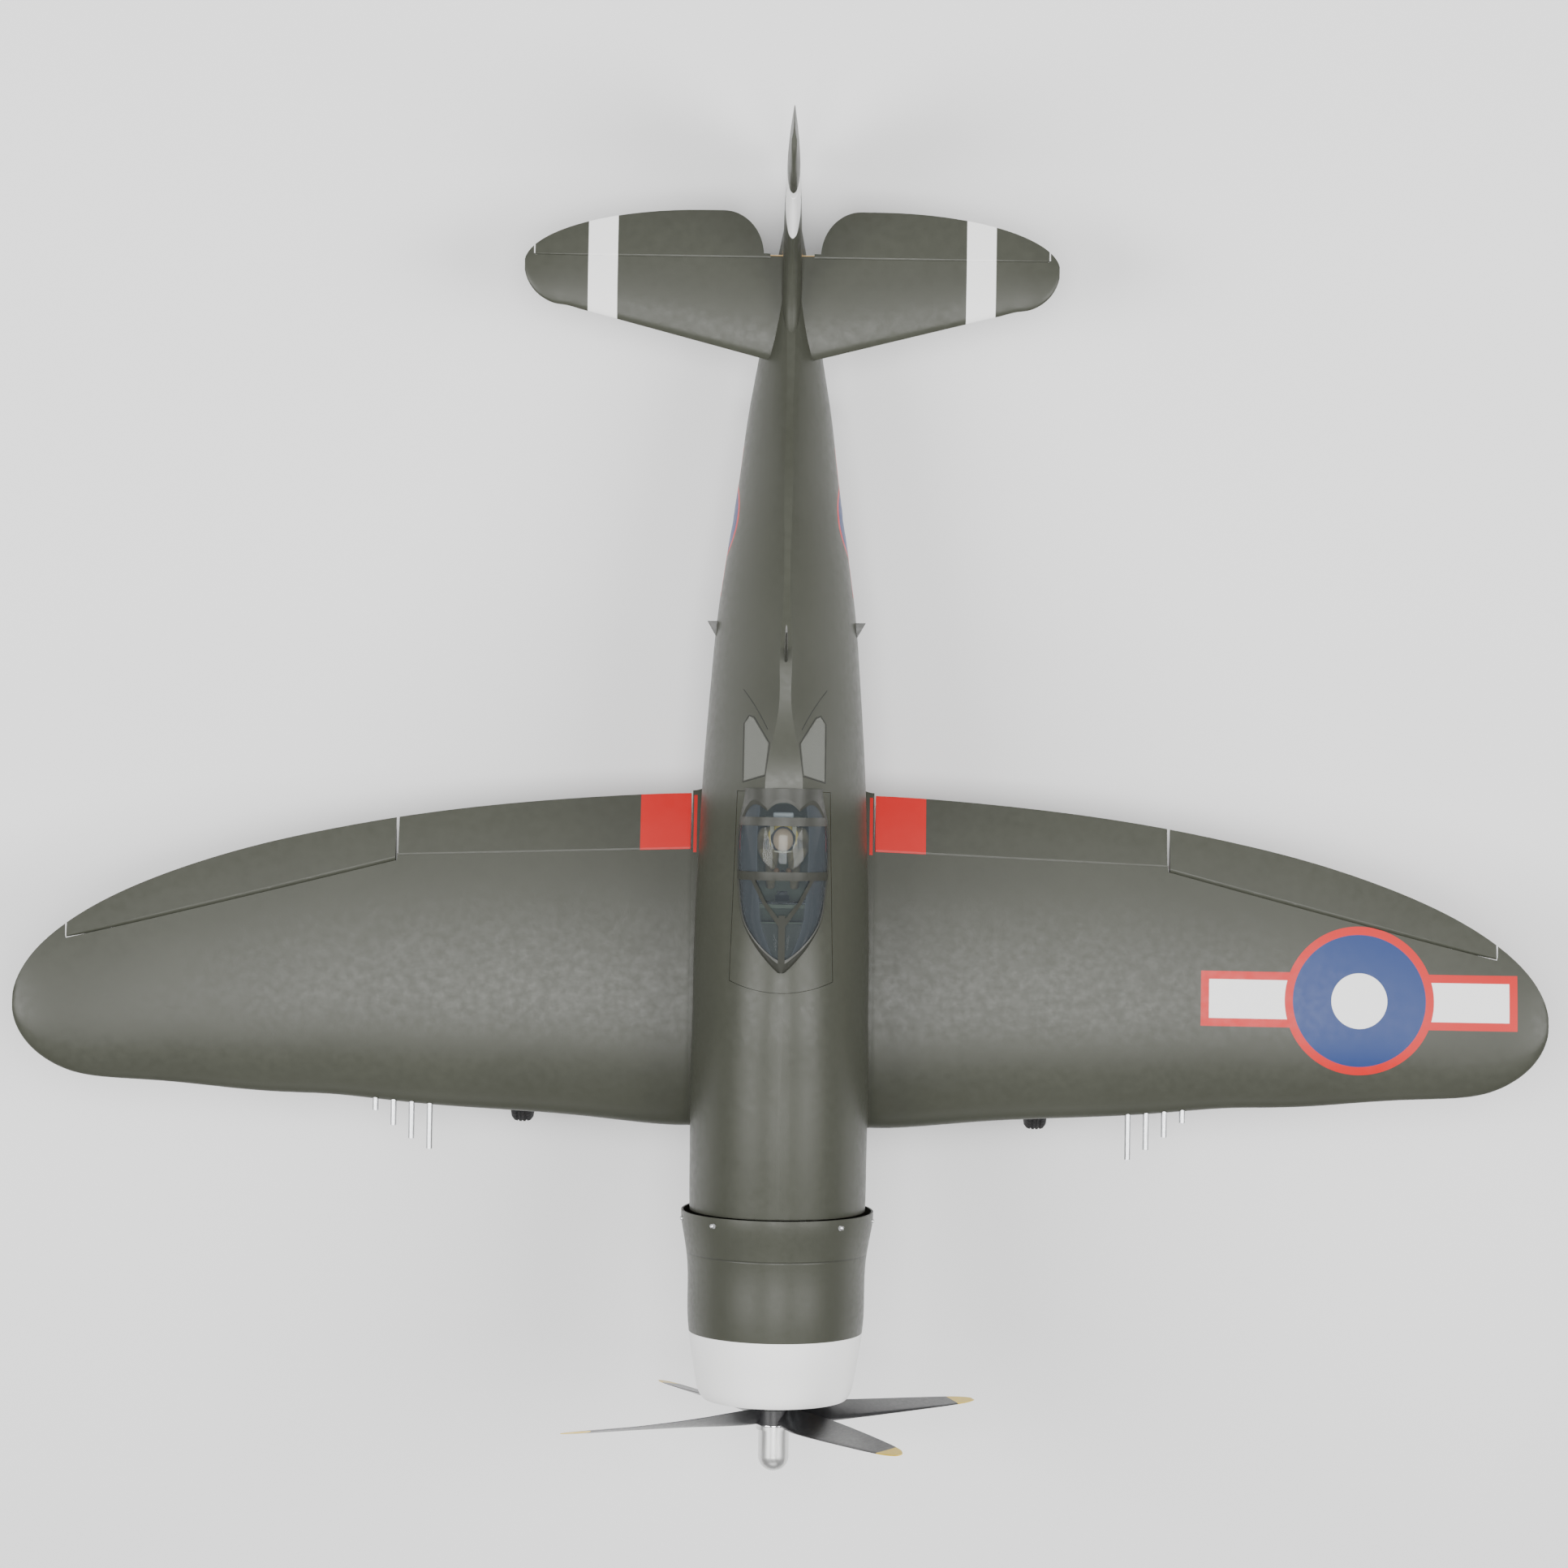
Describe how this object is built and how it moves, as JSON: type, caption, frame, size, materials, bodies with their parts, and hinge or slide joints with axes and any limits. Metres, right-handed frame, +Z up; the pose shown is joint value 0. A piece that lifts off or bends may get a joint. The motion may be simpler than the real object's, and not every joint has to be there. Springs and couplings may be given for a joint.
{
  "type": "rc warbird plane",
  "caption": "Radio-controlled single-engine fighter model with retractable gear, flaps, canopy hatch and multi-blade propeller, standing on its tail wheel.",
  "frame": {"origin": "on the ground under the middle of the bounding box, aircraft standing on its three wheels", "axes": "+X to the aircraft's left, +Y aft towards the tail, +Z up"},
  "size_m": [1.6986, 1.4784, 0.5663],
  "materials": {
    "airframe_film": "satin heat-shrink film over balsa",
    "surface_film": "satin film",
    "cowl_paint": "painted fibreglass",
    "frame_paint": "painted moulding",
    "clear_sheet": "clear moulded sheet",
    "cockpit_plastic": "matt",
    "figure_paint": "painted figure",
    "prop_plastic": "glass-filled nylon",
    "dome_metal": "satin",
    "motor_metal": "anodised",
    "engine_plastic": "moulded dummy engine",
    "steel": "bright",
    "tube_alloy": "drawn tube",
    "tyre_rubber": "matt",
    "hub_plastic": "moulded",
    "servo_plastic": "moulded",
    "plywood": "bare plywood",
    "battery_wrap": "shrink wrap"
  },
  "bodies": {
    "airframe": {"fuselage": "airframe_film", "firewall": "plywood", "motor_mount": "motor_metal", "cowl": "cowl_paint", "cowl_screws": "steel", "radial_crankcase": "engine_plastic", "radial_cylinders": "engine_plastic", "wing_panel_left": "airframe_film", "wing_panel_right": "airframe_film", "wing_fairings": "airframe_film", "wing_tube": "tube_alloy", "gun_barrels": "dome_metal", "tailplane": "airframe_film", "fin": "airframe_film", "antenna_mast": "servo_plastic", "intercooler_doors": "airframe_film", "quarter_windows": "clear_sheet", "retract_units": "motor_metal", "battery": "battery_wrap", "radio_gear": "plywood", "tail_servos": "servo_plastic", "wing_servos": "servo_plastic", "tailwheel_bracket": "tube_alloy", "hinge_brackets": "steel"},
    "canopy_hatch": {"hatch_deck": "airframe_film", "cockpit_tub": "cockpit_plastic", "instrument_panel": "cockpit_plastic", "pilot": "figure_paint", "canopy_frame": "frame_paint", "canopy_glass": "clear_sheet"},
    "propeller": {"propeller": "prop_plastic", "spinner_dome": "dome_metal", "motor_can": "motor_metal"},
    "aileron_left": {"aileron_left": "surface_film"},
    "aileron_right": {"aileron_right": "surface_film"},
    "flap_left": {"flap_left": "surface_film"},
    "flap_right": {"flap_right": "surface_film"},
    "elevators": {"elevators": "surface_film", "elevator_joiner": "steel"},
    "rudder": {"rudder": "surface_film"},
    "tailwheel_steer": {"tailwheel_fork": "steel"},
    "tail_wheel": {"tail_wheel": "tyre_rubber"},
    "gear_left": {"strut_left": "motor_metal", "gear_door_left": "frame_paint"},
    "oleo_left": {"oleo_piston_left": "steel"},
    "wheel_left": {"tyre_left": "tyre_rubber", "wheel_hub_left": "hub_plastic"},
    "aileron_servo_arm_left": {"aileron_servo_arm_left": "servo_plastic"},
    "aileron_pushrod_left": {"aileron_pushrod_left": "steel"},
    "flap_servo_arm_left": {"flap_servo_arm_left": "servo_plastic"},
    "flap_pushrod_left": {"flap_pushrod_left": "steel"},
    "gear_right": {"strut_right": "motor_metal", "gear_door_right": "frame_paint"},
    "oleo_right": {"oleo_piston_right": "steel"},
    "wheel_right": {"tyre_right": "tyre_rubber", "wheel_hub_right": "hub_plastic"},
    "aileron_servo_arm_right": {"aileron_servo_arm_right": "servo_plastic"},
    "aileron_pushrod_right": {"aileron_pushrod_right": "steel"},
    "flap_servo_arm_right": {"flap_servo_arm_right": "servo_plastic"},
    "flap_pushrod_right": {"flap_pushrod_right": "steel"}
  },
  "joints": [
    {"name": "hatch_lift", "type": "slide", "parent": "airframe", "child": "canopy_hatch", "axis": [0, 0.1907, 0.9817], "range_m": [0, 0.15]},
    {"name": "propeller_spin", "type": "hinge", "parent": "airframe", "child": "propeller", "pos_m": [0, -0.67994, 0.34263], "axis": [0, -0.9817, 0.1907], "continuous": true},
    {"name": "aileron_left_hinge", "type": "hinge", "parent": "airframe", "child": "aileron_left", "pos_m": [0.6115, -0.13446, 0.20087], "axis": [0.9651, -0.2262, 0.1322], "range_deg": [-18, 18]},
    {"name": "aileron_right_hinge", "type": "hinge", "parent": "airframe", "child": "aileron_right", "pos_m": [-0.6115, -0.13446, 0.20087], "axis": [0.9651, 0.2262, -0.1322], "range_deg": [-18, 18]},
    {"name": "flap_left_hinge", "type": "hinge", "parent": "airframe", "child": "flap_left", "pos_m": [0.266, -0.08754, 0.15133], "axis": [-0.9941, 0.0162, -0.1071], "range_deg": [0, 40]},
    {"name": "flap_right_hinge", "type": "hinge", "parent": "airframe", "child": "flap_right", "pos_m": [-0.266, -0.08754, 0.15133], "axis": [-0.9941, -0.0162, 0.1071], "range_deg": [0, 40]},
    {"name": "aileron_arm_left", "type": "hinge", "parent": "airframe", "child": "aileron_servo_arm_left", "pos_m": [0.59289, -0.20133, 0.21054], "axis": [0.9651, -0.2262, 0.1322], "range_deg": [-18, 18]},
    {"name": "aileron_rod_left", "type": "hinge", "parent": "aileron_left", "child": "aileron_pushrod_left", "pos_m": [0.61134, -0.13748, 0.18508], "axis": [0.9651, -0.2262, 0.1322], "range_deg": [-18, 18]},
    {"name": "aileron_arm_right", "type": "hinge", "parent": "airframe", "child": "aileron_servo_arm_right", "pos_m": [-0.59289, -0.20133, 0.21054], "axis": [0.9651, 0.2262, -0.1322], "range_deg": [-18, 18]},
    {"name": "aileron_rod_right", "type": "hinge", "parent": "aileron_right", "child": "aileron_pushrod_right", "pos_m": [-0.61134, -0.13748, 0.18508], "axis": [0.9651, 0.2262, -0.1322], "range_deg": [-18, 18]},
    {"name": "flap_arm_left", "type": "hinge", "parent": "airframe", "child": "flap_servo_arm_left", "pos_m": [0.27232, -0.15614, 0.16674], "axis": [-0.9941, 0.0162, -0.1071], "range_deg": [0, 40]},
    {"name": "flap_rod_left", "type": "hinge", "parent": "flap_left", "child": "flap_pushrod_left", "pos_m": [0.27673, -0.08523, 0.13658], "axis": [-0.9941, 0.0162, -0.1071], "range_deg": [-40, 0]},
    {"name": "flap_arm_right", "type": "hinge", "parent": "airframe", "child": "flap_servo_arm_right", "pos_m": [-0.27232, -0.15614, 0.16674], "axis": [-0.9941, -0.0162, 0.1071], "range_deg": [0, 40]},
    {"name": "flap_rod_right", "type": "hinge", "parent": "flap_right", "child": "flap_pushrod_right", "pos_m": [-0.27673, -0.08523, 0.13658], "axis": [-0.9941, -0.0162, 0.1071], "range_deg": [-40, 0]},
    {"name": "elevator_hinge", "type": "hinge", "parent": "airframe", "child": "elevators", "pos_m": [0, 0.57534, 0.14464], "axis": [1, 0, 0], "range_deg": [-20, 20]},
    {"name": "rudder_hinge", "type": "hinge", "parent": "airframe", "child": "rudder", "pos_m": [0, 0.63503, 0.1687], "axis": [0, 0.1907, 0.9817], "range_deg": [-25, 25]},
    {"name": "tailwheel_steering", "type": "hinge", "parent": "airframe", "child": "tailwheel_steer", "pos_m": [0, 0.39733, 0.06207], "axis": [0, 0.1907, 0.9817], "range_deg": [-25, 25]},
    {"name": "tail_wheel_spin", "type": "hinge", "parent": "tailwheel_steer", "child": "tail_wheel", "pos_m": [0, 0.40386, 0.017], "axis": [1, 0, 0], "continuous": true},
    {"name": "gear_left_retract", "type": "hinge", "parent": "airframe", "child": "gear_left", "pos_m": [0.316, -0.30845, 0.19407], "axis": [0.2069, 0.9015, -0.38], "range_deg": [0, 86.98]},
    {"name": "gear_right_retract", "type": "hinge", "parent": "airframe", "child": "gear_right", "pos_m": [-0.316, -0.30845, 0.19407], "axis": [0.2069, -0.9015, 0.38], "range_deg": [0, 86.98]},
    {"name": "oleo_left_travel", "type": "slide", "parent": "gear_left", "child": "oleo_left", "axis": [0, 0.4367, 0.8996], "range_m": [0, 0.008], "stiffness_N_per_m": 4000, "springref_m": -0.011},
    {"name": "wheel_left_spin", "type": "hinge", "parent": "oleo_left", "child": "wheel_left", "pos_m": [0.316, -0.37644, 0.054], "axis": [1, 0, 0], "continuous": true},
    {"name": "oleo_right_travel", "type": "slide", "parent": "gear_right", "child": "oleo_right", "axis": [0, 0.4367, 0.8996], "range_m": [0, 0.008], "stiffness_N_per_m": 4000, "springref_m": -0.011},
    {"name": "wheel_right_spin", "type": "hinge", "parent": "oleo_right", "child": "wheel_right", "pos_m": [-0.316, -0.37644, 0.054], "axis": [1, 0, 0], "continuous": true}
  ],
  "couplings": [
    {"joint": "aileron_right_hinge", "follows": "aileron_left_hinge", "ratio": -1},
    {"joint": "flap_right_hinge", "follows": "flap_left_hinge", "ratio": 1},
    {"joint": "aileron_arm_left", "follows": "aileron_left_hinge", "ratio": 1},
    {"joint": "aileron_rod_left", "follows": "aileron_left_hinge", "ratio": -1},
    {"joint": "aileron_arm_right", "follows": "aileron_left_hinge", "ratio": -1},
    {"joint": "aileron_rod_right", "follows": "aileron_left_hinge", "ratio": 1},
    {"joint": "flap_arm_left", "follows": "flap_left_hinge", "ratio": 1},
    {"joint": "flap_rod_left", "follows": "flap_left_hinge", "ratio": -1},
    {"joint": "flap_arm_right", "follows": "flap_left_hinge", "ratio": 1},
    {"joint": "flap_rod_right", "follows": "flap_left_hinge", "ratio": -1},
    {"joint": "tailwheel_steering", "follows": "rudder_hinge", "ratio": 1},
    {"joint": "gear_right_retract", "follows": "gear_left_retract", "ratio": 1}
  ]
}
